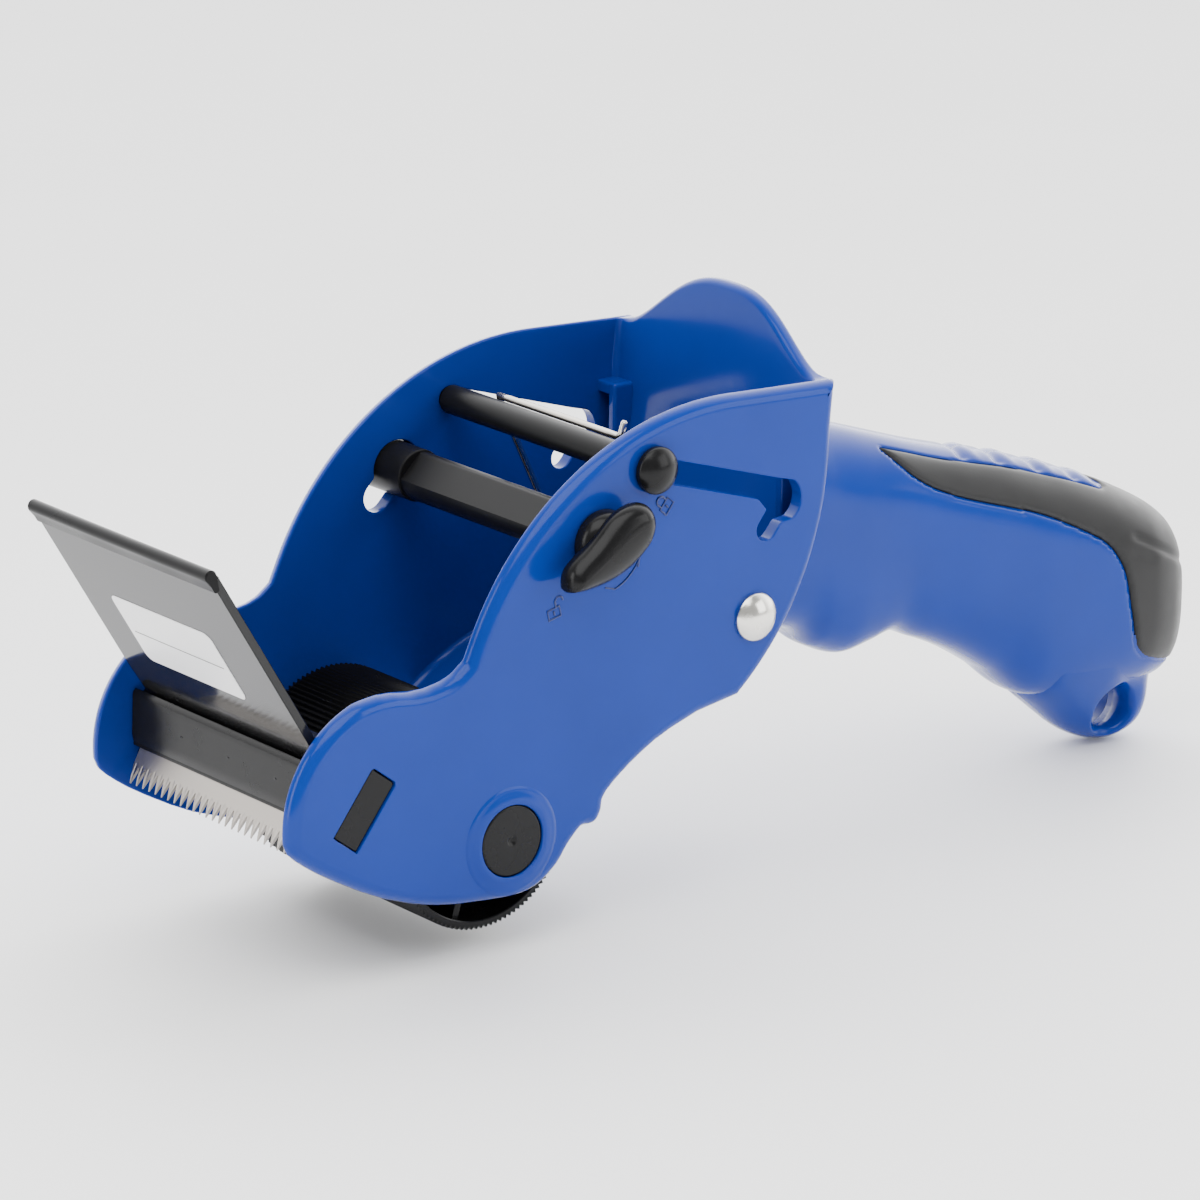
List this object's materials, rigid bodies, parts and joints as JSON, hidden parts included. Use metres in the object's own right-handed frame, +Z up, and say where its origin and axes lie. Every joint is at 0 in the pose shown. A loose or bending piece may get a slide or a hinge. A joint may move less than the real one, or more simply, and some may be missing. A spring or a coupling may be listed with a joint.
{
  "type": "tape gun dispenser",
  "caption": "Hand-held carton tape dispenser with a spindle bay, serrated roller, blade, press flap and contoured handle.",
  "frame": {"origin": "point on the ground line under the roller's axis, half-way between the cheeks, where the roller presses the tape down", "axes": "+X from the cutting head towards the handle, +Y away from the knob side, +Z up"},
  "size_m": [0.2718, 0.0825, 0.1166],
  "materials": {
    "blue_shell": "gloss",
    "black_plastic": "gloss",
    "soft_grip": "satin",
    "steel": "satin",
    "blade_steel": "bright rolled",
    "bright_chrome": "polished",
    "label_paper": "gloss"
  },
  "bodies": {
    "frame": {"body_frame": "blue_shell", "handle_near_shell": "blue_shell", "handle_far_shell": "blue_shell", "grip_insert": "soft_grip", "handle_screws": "steel", "roller_axle": "steel", "roller_plug_near": "black_plastic", "roller_plug_far": "black_plastic", "blade_holder": "black_plastic", "blade_clamp": "black_plastic", "cutter_blade": "blade_steel", "blade_screws": "steel", "flap_pin": "steel", "flap_spring": "steel", "brake_spring": "steel", "cross_pin": "bright_chrome", "cross_pin_cap": "bright_chrome", "spacer_tube": "black_plastic"},
    "press_roller": {"roller": "black_plastic"},
    "flap": {"press_flap": "black_plastic", "flap_label": "label_paper"},
    "spindle": {"spindle_bar": "black_plastic", "spindle_knob": "black_plastic"},
    "brake": {"brake_shaft": "black_plastic", "shaft_cap_near": "black_plastic", "shaft_cap_far": "black_plastic"}
  },
  "joints": [
    {"name": "roller_spin", "type": "hinge", "parent": "frame", "child": "press_roller", "pos_m": [0, 0, 0.0207], "axis": [0, 1, 0], "continuous": true},
    {"name": "flap_swing", "type": "hinge", "parent": "frame", "child": "flap", "pos_m": [-0.039, 0, 0.0403], "axis": [0, 1, 0], "range_deg": [0, 30], "stiffness_Nm_per_rad": 0.12, "springref_deg": -17.19, "deforming": ["flap_spring"]},
    {"name": "spindle_turn", "type": "hinge", "parent": "frame", "child": "spindle", "pos_m": [0.0213, 0, 0.0775], "axis": [0, 1, 0], "range_deg": [0, 150]},
    {"name": "brake_slide", "type": "slide", "parent": "frame", "child": "brake", "axis": [0.9573, 0, -0.289], "range_m": [0, 0.0335], "stiffness_N_per_m": 60, "springref_m": -0.015, "deforming": ["brake_spring"]}
  ]
}
